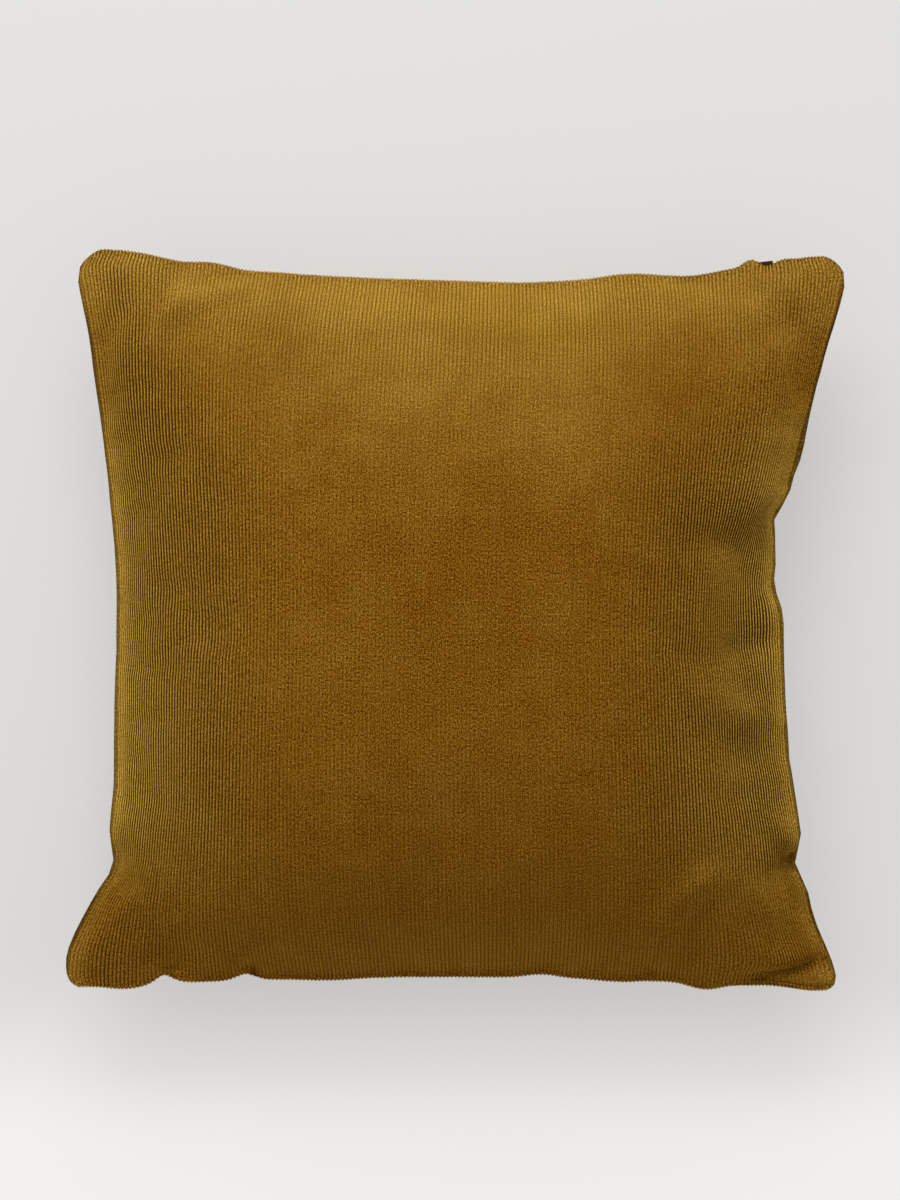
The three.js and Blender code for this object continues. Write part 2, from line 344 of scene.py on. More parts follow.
# The photographed view: the lens and the sensor's height in millimetres, pixels to the metre at the seam's
# height, and where the part's middle falls
LENS = 100
SENSOR_HEIGHT = 36
PHOTO_SIZE = (900, 1200)
PHOTO_MIDDLE = (455, 620)
PIXELS_PER_METRE = 1722


def lerp(a, b, share):
    return a + (b - a) * share


def bell(distance):
    return np.exp(-np.square(distance))


def smooth_step(value, low, high):
    share = np.clip((value - low) / (high - low), 0, 1)
    return share * share * (3 - 2 * share)


def faded(fade, place):
    return fade.amount * smooth_step(place, fade.start, fade.full)


def crown(place):
    return 1 - np.abs(place) ** CROWN_POWER


def soft_min(a, b, blend):
    h = np.maximum(blend - np.abs(a - b), 0)
    return np.minimum(a, b) - h * h / (4 * blend)


Side = namedtuple("Side", "sharp rounds starts ends reach draw lobes")


def make_side(first, last, along, out, draw, lobes):
    """One side of the seam from its first corner to its last, drawn in by the filling in the middle"""
    sharp = (getattr(first, along), getattr(last, along))
    return Side(
        sharp=sharp,
        rounds=(first.round, last.round),
        starts=sharp[0] + ROUND_INSET * first.round,
        ends=sharp[1] - ROUND_INSET * last.round,
        reach=(abs(getattr(first, out)), abs(getattr(last, out))),
        draw=draw,
        lobes=lobes,
    )


LEFT = make_side(BOTTOM_LEFT, TOP_LEFT, "y", "x", draw=27.5, lobes=LEFT_LOBES)
RIGHT = make_side(BOTTOM_RIGHT, TOP_RIGHT, "y", "x", draw=35.5, lobes=RIGHT_LOBES)
BOTTOM = make_side(BOTTOM_LEFT, BOTTOM_RIGHT, "x", "y", draw=8.0, lobes=BOTTOM_LOBES)
TOP = make_side(TOP_LEFT, TOP_RIGHT, "x", "y", draw=17.0, lobes=TOP_LOBES)


def bow(side, place):
    """How far out a side's smooth bow lies, at a place from -1 to 1 along it"""
    return lerp(side.reach[0], side.reach[1], (place + 1) / 2) - side.draw * (1 - place * place)


def round_inset(from_sharp, radius):
    inside = np.clip(radius - from_sharp, 0, radius)
    return radius - (radius**ROUND_POWER - inside**ROUND_POWER) ** (1 / ROUND_POWER)


def side_along(side, place):
    return lerp(side.starts, side.ends, (place + 1) / 2)


def detail(side, place, depth):
    """What a side's lobes, notches and round corners add to its bow, less and less deeper in"""
    along = side_along(side, place)
    total = np.zeros(np.broadcast(along, depth).shape)
    for lobe in side.lobes:
        total += lobe.out * bell((along - lobe.at) / lobe.spread) * bell(depth / (LOBE_DEPTH * lobe.spread))
    for distance, radius in (
        (along - side.sharp[0], side.rounds[0]),
        (side.sharp[1] - along, side.rounds[1]),
    ):
        total -= round_inset(distance, radius) * bell(depth / (ROUND_DEPTH * radius))
    return total


def plan(s, t):
    """Places on a panel, s across and t along from -1 to 1 between the seams, as they lie in plan"""
    p = s * (1 + FULL_ACROSS * (1 - s * s) * crown(t))
    q = t * (1 + FULL_ALONG * (1 - t * t) * crown(s))
    x = (
        lerp(-bow(LEFT, q), bow(RIGHT, q), (p + 1) / 2)
        - detail(LEFT, q, (1 + p) * HALF_PANEL)
        + detail(RIGHT, q, (1 - p) * HALF_PANEL)
    )
    y = (
        lerp(-bow(BOTTOM, p), bow(TOP, p), (q + 1) / 2)
        - detail(BOTTOM, p, (1 + q) * HALF_PANEL)
        + detail(TOP, p, (1 - q) * HALF_PANEL)
    )
    return x, y


def seam_height(s, t):
    return SEAM_HEIGHT - EAR_DROOP * np.abs(s * t) ** EAR_POWER


def from_seam(s, t):
    """The least distance of cloth to the seam"""
    return (1 - np.maximum(np.abs(s), np.abs(t))) * HALF_PANEL


def fold_height(x, y):
    total = np.zeros_like(x)
    for fold in FRONT_FOLDS:
        run_x, run_y = fold.to_x - fold.x, fold.to_y - fold.y
        along = ((x - fold.x) * run_x + (y - fold.y) * run_y) / (run_x**2 + run_y**2)
        held = np.clip(along, 0, 1)
        distance = np.hypot(x - fold.x - held * run_x, y - fold.y - held * run_y)
        total += fold.height * (1 - held) * bell(distance / fold.width)
    return total


def front_surface(s, t):
    x, y = plan(s, t)
    folds = fold_height(x, y) * smooth_step(from_seam(s, t), 0, FOLD_EDGE_FADE)
    z = seam_height(s, t) + FRONT_CROWN * crown(s) * crown(t) + folds
    return np.stack([x, y, z], axis=-1)


def back_surface(s, t):
    x, y = plan(s, t)
    fill = np.maximum(soft_min(BACK_SHOULDER * crown(s) * crown(t), 1, BACK_FLAT_BLEND), 0)
    return np.stack([x, y, np.maximum(seam_height(s, t) - BACK_CROWN * fill, 0)], axis=-1)


def quads(ids):
    corners = (ids[:-1, :-1], ids[:-1, 1:], ids[1:, 1:], ids[1:, :-1])
    return np.stack(corners, axis=-1).reshape(-1, 4)


def back_faces(ids, border, step):
    """The back's faces. Its rows lie step of the front's apart, and its outer faces take in the border."""
    inner = quads(ids[:, 1:-1])[:, ::-1].tolist()
    for row in range(len(ids) - 1):
        left = border[row * step : (row + 1) * step + 1, 0]
        right = border[row * step : (row + 1) * step + 1, -1]
        inner.append([*left, ids[row + 1, 1], ids[row, 1]])
        inner.append([ids[row, -2], ids[row + 1, -2], *right[::-1]])
    return inner


def closed_mesh(name, front, back, step=1):
    """A closed mesh of two faces of points, in millimetres, that share their border.

    The back has one row of points for each step rows of the front. Also gives both faces' point numbers.
    """
    rows, columns = front.shape[0] - 1, front.shape[1] - 1
    front_ids = np.arange((rows + 1) * (columns + 1)).reshape(rows + 1, columns + 1)
    back_ids = front_ids[::step].copy()
    back = back[::step]
    inner = (len(back_ids) - 2) * (columns - 1)
    back_ids[1:-1, 1:-1] = front_ids.size + np.arange(inner).reshape(-1, columns - 1)
    points = np.concatenate([front.reshape(-1, 3), back[1:-1, 1:-1].reshape(-1, 3)]) * MM
    faces = quads(front_ids).tolist() + back_faces(back_ids, front_ids, step)
    mesh = bpy.data.meshes.new(name)
    mesh.from_pydata(points.tolist(), [], faces)
    mesh.validate()
    mesh.update()
    return mesh, front_ids, back_ids


def link(obj):
    bpy.context.scene.collection.objects.link(obj)
    return obj


def settle(cap):
    """How far each place of the front and the back moves as the filled cover settles, at most cap.

    The seam and the flat spot are held, the filling presses from inside, and the cloth takes up tension.
    """
    places = np.linspace(-1, 1, SETTLE_STEPS + 1)
    s, t = np.meshgrid(places, places)
    front, back = front_surface(s, t), back_surface(s, t)
    mesh, front_ids, back_ids = closed_mesh("settling_cover", front, back)
    cover = link(bpy.data.objects.new("settling_cover", mesh))
    held = cover.vertex_groups.new(name="held")
    seam = from_seam(s, t) < HELD_SEAM_DEPTH
    held.add([int(i) for i in front_ids[seam]], 1.0, "REPLACE")
    held.add([int(i) for i in back_ids[(back[..., 2] < HELD_BACK_HEIGHT) & ~seam]], 1.0, "REPLACE")
    cloth = cover.modifiers.new("Cloth", "CLOTH")
    for name, value in SETTLING_CLOTH.items():
        setattr(cloth.settings, name, value)
    cloth.settings.vertex_group_mass = "held"
    cloth.settings.effector_weights.gravity = 0
    cloth.collision_settings.use_collision = False
    cloth.point_cache.frame_end = SETTLE_FRAMES
    scene = bpy.context.scene
    for number in range(1, SETTLE_FRAMES + 1):
        scene.frame_set(number)
    settled = cover.evaluated_get(bpy.context.evaluated_depsgraph_get()).data
    points = np.empty(len(mesh.vertices) * 3, np.float32)
    settled.vertices.foreach_get("co", points)
    points = points.reshape(-1, 3).astype(float) / MM
    scene.frame_set(1)
    bpy.data.objects.remove(cover)
    bpy.data.meshes.remove(mesh)

    def moved(ids, start):
        move = points[ids] - start
        length = np.linalg.norm(move, axis=-1, keepdims=True)
        return move * (cap * np.tanh(length / cap) / np.maximum(length, 1e-9))

    return moved(front_ids, front), moved(back_ids, back)


def spline_weights(places, steps):
    """Rows of weights that sample even steps from -1 to 1 with a smooth cubic spline"""
    at = (places + 1) / 2 * steps
    cell = np.clip(np.floor(at).astype(int), 0, steps - 1)
    f = at - cell
    parts = (
        (1 - f) ** 3 / 6,
        (3 * f**3 - 6 * f**2 + 4) / 6,
        (-3 * f**3 + 3 * f**2 + 3 * f + 1) / 6,
        f**3 / 6,
    )
    weights = np.zeros((len(places), steps + 1))
    for offset, part in enumerate(parts):
        column = np.clip(cell + offset - 1, 0, steps)
        np.add.at(weights, (np.arange(len(places)), column), part)
    return weights


def sample(moves, across, along):
    """Moves on the settled cover's grid, at finer places"""
    rows = spline_weights(along, SETTLE_STEPS)
    columns = spline_weights(across, SETTLE_STEPS)
    return np.einsum("ai,ijk,bj->abk", rows, moves, columns)


def wale_places():
    """The columns across a panel: a place from -1 to 1, and how far it stands up its wale"""
    shoulders = np.tile(WALE_SHOULDERS, WALES) + np.repeat(np.arange(WALES), len(WALE_SHOULDERS))
    rise = np.tile(WALE_RISE, WALES)
    return np.append(shoulders, WALES) * 2 / WALES - 1, np.append(rise, 0.0)


def row_places():
    """The rows up a panel, close together next to the seams"""
    low = np.array(BOTTOM_ROWS) - HALF_PANEL
    high = HALF_PANEL - np.array(TOP_ROWS[::-1])
    middle = np.linspace(low[-1], high[0], MIDDLE_ROWS + 1)[1:-1]
    return np.concatenate([low, middle, high]) / HALF_PANEL


def crease_height(x, y):
    """Sharp folds of the front: a ridge on one side of each line and a trough on the other"""
    total = np.zeros_like(x)
    for crease in CREASES:
        run_x, run_y = crease.to_x - crease.x, crease.to_y - crease.y
        length = math.hypot(run_x, run_y)
        along = ((x - crease.x) * run_x + (y - crease.y) * run_y) / length**2
        left = (run_x * (y - crease.y) - run_y * (x - crease.x)) / length
        held = np.clip(along, 0, 1)
        past = (along - held) * length
        fade = (1 - held**2) * bell(past / crease.width)
        beside = crease.width * CREASE_BESIDE
        total += fade * crease.left * bell((left - beside) / crease.width)
        total += fade * crease.right * bell((left + beside) / crease.width)
    return total


def plan_run(start, end):
    """The way in plan from one place on a panel to another"""
    return np.stack(plan(*end), -1) - np.stack(plan(*start), -1)


def unit(vectors):
    return vectors / np.linalg.norm(vectors, axis=-1, keepdims=True)


def seam_directions(s, t):
    """Which way is out of the seam, in plan, at each place near it"""
    total = np.zeros(s.shape + (2,))
    for end in (-1, 1):
        seam = np.full_like(s, end)
        up = plan_run((seam, np.maximum(t - RUN_STEP, -1)), (seam, np.minimum(t + RUN_STEP, 1)))
        right = plan_run((np.maximum(s - RUN_STEP, -1), seam), (np.minimum(s + RUN_STEP, 1), seam))
        for run, turn, place in ((up, -end, s), (right, end, t)):
            out = unit(np.stack([-run[..., 1], run[..., 0]], -1) * turn)
            depth = (1 - end * place) * HALF_PANEL
            total += out / (depth[..., None] + NEARNESS_SOFTENING) ** NEARNESS_POWER
    return unit(total)


def lobe_sum(lobes, along):
    return sum(lobe.out * bell((along - lobe.at) / lobe.spread) for lobe in lobes)


def nearest_a_side(s, t):
    """1 where the side seams are nearest, and 0 where the top or bottom seam is"""
    return smooth_step(np.abs(s) - np.abs(t), *SIDE_TURN)


def front_inset(s, t):
    """How far the front panel's edge lies inside the back panel's, which shows beyond it"""
    beside = nearest_a_side(s, t)
    inset = beside * (SIDE_INSET + (s > 0) * lobe_sum(RIGHT_INSETS, side_along(RIGHT, t)))
    inset = inset + beside * (s < 0) * lobe_sum(LEFT_INSETS, side_along(LEFT, t))
    return inset + (1 - beside) * (t > 0) * lobe_sum(TOP_INSETS, side_along(TOP, s))


def roll_shape(depth, reach):
    """A rolled edge: none at the stitches, most at its reach, and less and less past it"""
    return depth / reach * np.exp(1 - depth / reach)


def seam_offsets(s, t, is_front, groove, roll):
    """The groove of the stitched seam and the rolled edge of cloth beside it"""
    depth = from_seam(s, t)
    out = seam_directions(s, t)
    inset = front_inset(s, t)
    sink = groove * (1 - smooth_step(depth, 0, GROOVE_REACH))
    beside = nearest_a_side(s, t)
    rounded = roll_shape(depth, GROOVE_REACH)
    if is_front:
        front_roll = lerp(END_ROLL, roll, beside)
        shift = front_roll * rounded - inset * bell(depth / INSET_REACH)
        lift = rounded
    else:
        back_roll = lerp(BACK_END_ROLL, BACK_SIDE_ROLL, beside)
        shift = back_roll * roll_shape(depth, BACK_ROLL_REACH) - inset * bell(depth / GROOVE_REACH)
        lift = -rounded
    offsets = np.empty(s.shape + (3,))
    offsets[..., :2] = out * (shift - sink)[..., None]
    offsets[..., 2] = lift
    return offsets


def surface_normals(points, sign):
    across = np.gradient(points, axis=1)
    along = np.gradient(points, axis=0)
    normals = np.cross(across, along) * sign
    return normals / np.maximum(np.linalg.norm(normals, axis=-1, keepdims=True), 1e-9)


def wobble(shape, uneven):
    """Smooth seeded unevenness over a grid of points"""
    up, across = uneven.steps
    coarse = np.random.default_rng(uneven.seed).uniform(-1, 1, (up + 1, across + 1))
    rows = spline_weights(np.linspace(-1, 1, shape[0]), up)
    columns = spline_weights(np.linspace(-1, 1, shape[1]), across)
    return uneven.most * (rows @ coarse @ columns.T)


def facing_light(x, y):
    """How much the folds tip the front towards its top edge at each place, as a slope"""
    return (fold_height(x, y - SLOPE_STEP) - fold_height(x, y + SLOPE_STEP)) / (2 * SLOPE_STEP)


def valley_openness_and_shade(s, t, facing):
    """How open the valleys between wales are, and so how much painted shade they get: shut on the flat
    middle, and open where the cloth bends
    """
    later = faded(VALLEY_BEND_LATER, t)
    from_middle = np.abs(s - VALLEY_BEND_MIDDLE)
    bend = smooth_step(from_middle, VALLEY_BEND.start + later, VALLEY_BEND.full + later)
    beside = VALLEY_BEND.amount * bend + faded(VALLEY_STEEP, np.abs(s))
    sooner = VALLEY_SHUT_ABOVE_SOONER * np.maximum(s, 0)
    shut_above = VALLEY_SHUT_ABOVE.amount + VALLEY_SHUT_ABOVE_SLANT * s
    beside *= 1 - shut_above * smooth_step(t + sooner, VALLEY_SHUT_ABOVE.start, VALLEY_SHUT_ABOVE.full)
    shut_below = VALLEY_SHUT_BELOW.amount + VALLEY_SHUT_BELOW_SLANT * s
    beside *= 1 - shut_below * smooth_step(-t, VALLEY_SHUT_BELOW.start, VALLEY_SHUT_BELOW.full)
    at_ends = np.maximum(faded(VALLEY_TOP, t), faded(VALLEY_BOTTOM, -t))
    flank = 1 - VALLEY_FLANK_SHUT * bell((1 - np.abs(s)) * HALF_PANEL / FLANK_REACH)
    # painted light and shade on the folds: valleys shut where a fold faces the light, and open to more
    # painted shade where it faces away
    folds = 1 + VALLEY_SHADE_PER_SLOPE * np.clip(facing, *VALLEY_SLOPES)
    return VALLEY_EVERYWHERE + np.maximum(beside, at_ends) * flank * folds


def light_and_shade_at_ends(s, t):
    """Painted light towards the top edge, less of it at the top right, and painted shade towards the bottom
    edge
    """
    above = faded(LIGHT_ABOVE, t + wobble(s.shape, LIGHT_ABOVE_WOBBLE))
    missing = smooth_step(np.abs(s), LIGHT_ABOVE_SIDES.start, LIGHT_ABOVE_SIDES.full)
    above *= 1 - missing * (LIGHT_ABOVE_SIDES.amount - faded(LIGHT_ABOVE_EARS, t))
    top_right = faded(LESS_LIGHT_TOP_RIGHT, s) * faded(LESS_LIGHT_TOP_RIGHT_RISE, t)
    return above + faded(LIGHT_TOP_EDGE, t) - faded(SHADE_BELOW, -t) - top_right


def painted_light_beside(s, t):
    """Painted sheen on both sides of the middle, where the cloth bends away, and a patch of painted light on
    the right
    """
    bend = smooth_step(np.abs(s), LIGHT_SIDES.start, LIGHT_SIDES.full)
    beside = (LIGHT_SIDES.amount + LIGHT_SIDES_SLANT * s) * bend * (1 - faded(LIGHT_SIDES_ABOVE, t))
    beside += faded(LIGHT_RIGHT_PATCH, s) * bell((t - LIGHT_RIGHT_PATCH_PLACE) / LIGHT_RIGHT_PATCH_SPREAD)
    return beside * (1 - faded(LIGHT_SIDES_BELOW, -t))


def painted_sheen_on_flanks(s, t):
    """Painted sheen in the bands beside the side seams, and in the lower ears"""
    depth = (1 - np.abs(s)) * HALF_PANEL
    flank = bell((depth - FLANK_DEPTH) / (FLANK_SPREAD + faded(FLANK_SPREAD_BELOW, -t)))
    flank *= 1 - smooth_step(t, FLANK_TOP.start, FLANK_TOP.full + FLANK_TOP_SLANT * s)
    flank *= 1 - faded(FLANK_BOTTOM, -t)
    flank *= 1 - FLANK_EDGE_LESS * bell(depth / FLANK_EDGE_REACH)
    flank *= 1 + (s < 0) * faded(FLANK_LEFT_MORE, -t)
    ears = faded(EAR_SHEEN, -t) * bell((depth - EAR_SHEEN_DEPTH) / EAR_SHEEN_SPREAD)
    return (FLANK_SHEEN + FLANK_SHEEN_SLANT * s) * (flank + ears)


def painted_light_and_nap(s, t, facing):
    """How far the colour goes towards the raised nap colour, as painted light: most towards the top edge and
    beside the seams, least at the bottom, and by the folds' slope
    """
    # painted light and shade on the folds: lighter where a fold faces the light, darker where it faces away
    folds = LIGHT_PER_SLOPE * np.clip(facing, *LIGHT_SLOPES)
    return NAP_EVERYWHERE + light_and_shade_at_ends(s, t) + painted_light_beside(s, t) + painted_sheen_on_flanks(s, t) + folds


def seam_shade(s, t, is_front):
    """How shaded the cloth is, in the seam's groove and under its edge on the back"""
    depth = from_seam(s, t)
    if is_front:
        return bell(depth / (SHADE_REACH + SHADE_REACH_PER_INSET * front_inset(s, t)))
    edge = BACK_EDGE_SHADE * bell(depth / BACK_EDGE_SHADE_REACH)
    return np.maximum(bell(depth / BACK_SHADE_REACH), edge)


def slid(s, t):
    """The front's places across, once the wales have slid beside the right seam"""
    depth = (1 - s) * HALF_PANEL
    along = side_along(RIGHT, t)
    shift = np.zeros_like(s)
    for slide in RIGHT_SLIDES:
        near = bell((along - slide.along) / slide.length) * bell((depth - slide.depth) / slide.width)
        shift += slide.shift * near
    return s + shift / HALF_PANEL * smooth_step(from_seam(s, t), 0, SLIDE_FADE)


def cover_points(cap, groove, roll, wale_height):
    """Places across and along the panels, and the points of the front and the back, in millimetres.

    The front's places across are given twice, before and after its wales slide beside the right seam. The
    cover settles by at most cap, and not at all where that is 0.
    """
    across, rise = wale_places()
    along = row_places()
    s, t = np.meshgrid(across, along)
    front_s = slid(s, t)
    front, back = front_surface(front_s, t), back_surface(s, t)
    depth = from_seam(s, t)
    front[..., 2] += crease_height(front[..., 0], front[..., 1]) * smooth_step(depth, 0, CREASE_FADE)
    front[..., 2] += wobble(s.shape, LUMPS) * smooth_step(depth, *LUMPS_FADE)
    if cap:
        front_moves, back_moves = settle(cap)
        front += sample(front_moves, across, along)
        back += sample(back_moves, across, along)
    front += seam_offsets(front_s, t, True, groove, roll)
    back += seam_offsets(s, t, False, groove, roll)
    uneven = 1 + wobble(s.shape, WALE_BY_WALE) + wobble(s.shape, WALE_PATCHES)
    sunk = wale_height * (1 - rise[None, :]) * uneven * smooth_step(depth, 0, WALE_EDGE_FADE)
    front -= surface_normals(front, 1) * sunk[..., None]
    back -= surface_normals(back, -1) * sunk[..., None]
    back[..., 2] = np.maximum(back[..., 2], 0)
    return s, front_s, t, front, back


class CushionSettings(bpy.types.PropertyGroup):
    wale_height: bpy.props.FloatProperty(
        name="Wale height",
        description="Height of the pile's ridges above the ground of the cloth",
        default=0.0009,
        unit="LENGTH",
    )
    groove: bpy.props.FloatProperty(
        name="Seam groove",
        description="Depth of the stitched seam between its two rolled edges",
        default=0.0016,
        unit="LENGTH",
    )
    roll: bpy.props.FloatProperty(
        name="Edge roll",
        description="How far the front panel's rolled edge stands out past the seam",
        default=0.0004,
        unit="LENGTH",
    )
    settle_cap: bpy.props.FloatProperty(
        name="Settling",
        description="The most that a place on the cover moves as the filling settles",
        default=0.006,
        unit="LENGTH",
    )
    fill: bpy.props.FloatProperty(
        name="Fill",
        description="How tightly the cover is filled, from slack to tight",
        default=0.65,
        min=0.0,
        max=1.0,
    )
    pile_color: bpy.props.FloatVectorProperty(
        name="Pile",
        description="Colour of the pile where its nap lies flat",
        subtype="COLOR",
        size=3,
        default=(0.190, 0.067, 0.0012),
    )
    # The raised nap colour is also the colour of painted light and sheen: towards the top edge, on the sides
    # and flanks, on crests and on folds that face the light
    nap_and_lit_color: bpy.props.FloatVectorProperty(
        name="Raised nap",
        description="Colour of the pile where its nap is brushed up, on crests and towards the top edge",
        subtype="COLOR",
        size=3,
        default=(0.555, 0.330, 0.054),
    )
    # The ground colour is also the colour of the painted shade in the valleys between wales and in the seam's
    # groove
    ground_and_shade_color: bpy.props.FloatVectorProperty(
        name="Ground",
        description="Colour of the cloth in the valleys between wales",
        subtype="COLOR",
        size=3,
        default=(0.030, 0.010, 0.0005),
    )
    tape_color: bpy.props.FloatVectorProperty(
        name="Zip tape",
        description="Colour of the zip's tape",
        subtype="COLOR",
        size=3,
        default=(0.055, 0.019, 0.009),
    )


class StageSettings(bpy.types.PropertyGroup):
    floor_color: bpy.props.FloatVectorProperty(
        name="Floor",
        description="Colour of the floor",
        subtype="COLOR",
        size=3,
        default=(0.28, 0.278, 0.272),
    )
    floor_glow: bpy.props.FloatProperty(
        name="Floor glow",
        description="Light that the pale floor gives of itself, so that shadows stay faint",
        default=0.45,
    )
    key_power: bpy.props.FloatProperty(
        name="Key light",
        description="Power of the large soft light beyond the cushion's top edge",
        default=34.0,
        unit="POWER",
    )
    sky_strength: bpy.props.FloatProperty(
        name="Fill light",
        description="Strength of the even light from all round",
        default=0.6,
    )


def new_material(name):
    material = bpy.data.materials.new(name)
    material.use_nodes = True
    nodes = material.node_tree.nodes
    shader = nodes["Principled BSDF"] if "Principled BSDF" in nodes else nodes.new("ShaderNodeBsdfPrincipled")
    return material, material.node_tree, shader


def add_node(tree, kind, **values):
    """A node with its properties and inputs set by name"""
    node = tree.nodes.new(kind)
    for name, value in values.items():
        if hasattr(node, name):
            setattr(node, name, value)
        else:
            node.inputs[name.replace("_", " ").title()].default_value = value
    return node


def math_node(tree, operation, *inputs):
    node = tree.nodes.new("ShaderNodeMath")
    node.operation = operation
    for socket, value in zip(node.inputs, inputs):
        if isinstance(value, (int, float)):
            socket.default_value = value
        else:
            tree.links.new(value, socket)
    return node.outputs[0]


def mix_color(tree, factor, a, b, blend="MIX", past_ends=False):
    """A mix of two colours, which goes on past them where past_ends is set"""
    node = tree.nodes.new("ShaderNodeMix")
    node.data_type = "RGBA"
    node.blend_type = blend
    node.clamp_factor = not past_ends
    node.clamp_result = past_ends
    for socket, value in ((node.inputs[0], factor), (node.inputs[6], a), (node.inputs[7], b)):
        if isinstance(value, bpy.types.NodeSocket):
            tree.links.new(value, socket)
        elif isinstance(value, (int, float)):
            socket.default_value = value
        else:
            socket.default_value = (*value, 1.0)
    return node.outputs[2]


def scaled(tree, vector, scale):
    node = tree.nodes.new("ShaderNodeVectorMath")
    node.operation = "MULTIPLY"
    tree.links.new(vector, node.inputs[0])
    node.inputs[1].default_value = scale
    return node.outputs[0]


def noise(tree, vector, scale, detail_levels=2.0, roughness=0.5):
    node = tree.nodes.new("ShaderNodeTexNoise")
    tree.links.new(vector, node.inputs["Vector"])
    node.inputs["Scale"].default_value = scale
    node.inputs["Detail"].default_value = detail_levels
    node.inputs["Roughness"].default_value = roughness
    return node.outputs["Fac"]


def ramp(tree, value, low, high):
    """0 below low and 1 above high, smooth between"""
    node = tree.nodes.new("ShaderNodeMapRange")
    node.interpolation_type = "SMOOTHSTEP"
    tree.links.new(value, node.inputs["Value"])
    node.inputs["From Min"].default_value = low
    node.inputs["From Max"].default_value = high
    return node.outputs["Result"]


def pile_unevenness(tree, place, cloth, nap_and_painted_light):
    """How much the pile's patterns brush the nap up or down, and the tufts themselves"""
    patches = noise(tree, place, 11.0, 3.0, 0.55)
    crushed = noise(tree, scaled(tree, place, (0.8, 1.0, 1.0)), 60.0, 3.0, 0.55)
    streaks = noise(tree, scaled(tree, cloth, (1.0, 0.05, 1.0)), 1.0, 2.0, 0.6)
    tufts = ramp(tree, noise(tree, scaled(tree, cloth, (3.0, 2.0, 1.0)), 1.0, 2.0, 0.9), 0.3, 0.7)
    lively = math_node(tree, "MULTIPLY_ADD", nap_and_painted_light, LIVELY_PER_NAP_AND_LIGHT, LIVELY_BASE)
    total = 0.0
    for pattern, amount, share in (
        (patches, PATCHES, lively),
        (crushed, CRUSHED, lively),
        (streaks, STREAKS, 1.0),
        (tufts, TUFTS, 1.0),
    ):
        change = math_node(tree, "MULTIPLY", math_node(tree, "SUBTRACT", pattern, 0.5), amount)
        total = math_node(tree, "MULTIPLY_ADD", change, share, total)
    return total, tufts


def make_corduroy(settings, name, gloss):
    """Ribbed cotton pile: the dark ground with painted shade in the valleys and the seam, a mottled nap with
    painted light and crest highlights, and a soft sheen that gloss scales
    """
    material, tree, shader = new_material(name)
    cloth = add_node(tree, "ShaderNodeUVMap", uv_map="cloth").outputs["UV"]
    place = tree.nodes.new("ShaderNodeTexCoord").outputs["Object"]
    split = tree.nodes.new("ShaderNodeSeparateXYZ")
    tree.links.new(cloth, split.inputs[0])
    openness = add_node(tree, "ShaderNodeAttribute", attribute_name="valley_shade").outputs["Fac"]
    nap_and_painted_light = add_node(tree, "ShaderNodeAttribute", attribute_name="nap_and_painted_light").outputs["Fac"]
    shade = add_node(tree, "ShaderNodeAttribute", attribute_name="seam_shade").outputs["Fac"]

    phase = math_node(tree, "FRACT", split.outputs["X"])
    off_crest = math_node(tree, "ABSOLUTE", math_node(tree, "SUBTRACT", phase, 0.5))
    widened = math_node(tree, "MULTIPLY_ADD", openness, VALLEY_WIDENING, off_crest)
    # painted shade across each wale, widest and darkest in open valleys
    valley_shade = math_node(tree, "MULTIPLY", ramp(tree, widened, *VALLEY_EDGE), openness)
    # painted highlight on the crests of open wales
    crest_highlight = math_node(tree, "SUBTRACT", 1.0, ramp(tree, off_crest, *CREST_EDGE))
    crest_highlight = math_node(tree, "MULTIPLY", crest_highlight, openness)

    uneven, tufts = pile_unevenness(tree, place, cloth, nap_and_painted_light)
    nap_and_light = math_node(tree, "MULTIPLY_ADD", crest_highlight, CREST_HIGHLIGHT, nap_and_painted_light)
    nap_and_light = math_node(tree, "ADD", nap_and_light, uneven)

    pile, nap_and_lit = tuple(settings.pile_color), tuple(settings.nap_and_lit_color)
    ground_and_shade = tuple(settings.ground_and_shade_color)
    # painted light and shade: from the pile colour to the raised nap colour, and past both, by the painted
    # light and highlights and by the nap's own patches and tufts
    color = mix_color(tree, nap_and_light, pile, nap_and_lit, past_ends=True)
    # painted shade in the valleys between wales, towards the ground colour
    color = mix_color(tree, valley_shade, color, ground_and_shade)
    speckle = math_node(tree, "MULTIPLY_ADD", tufts, SPECKLE, SPECKLE_LEAST)
    color = mix_color(tree, 1.0, color, speckle, blend="MULTIPLY")
    # painted shade in the seam's groove and on the back's edge under the front, towards the ground colour
    painted_seam_shade = math_node(tree, "MULTIPLY", shade, SEAM_DARKNESS)
    color = mix_color(tree, painted_seam_shade, color, ground_and_shade)
    tree.links.new(color, shader.inputs["Base Color"])

    side = math_node(tree, "MULTIPLY", off_crest, 2.0)
    ridge = math_node(tree, "SUBTRACT", 1.0, math_node(tree, "POWER", side, 2.0))
    relief = math_node(tree, "MULTIPLY_ADD", ridge, openness, tufts)
    bump = tree.nodes.new("ShaderNodeBump")
    bump.inputs["Strength"].default_value = 0.8
    bump.inputs["Distance"].default_value = 0.0005
    tree.links.new(relief, bump.inputs["Height"])
    tree.links.new(bump.outputs[0], shader.inputs["Normal"])

    shader.inputs["Roughness"].default_value = 0.6
    shader.inputs["Specular IOR Level"].default_value = 0.05 * gloss
    shader.inputs["Specular Tint"].default_value = (1.0, 0.75, 0.05, 1.0)
    shader.inputs["Sheen Weight"].default_value = 0.85 * gloss
    shader.inputs["Sheen Roughness"].default_value = 0.4
    shader.inputs["Sheen Tint"].default_value = (1.0, 0.54, 0.04, 1.0)
    return material


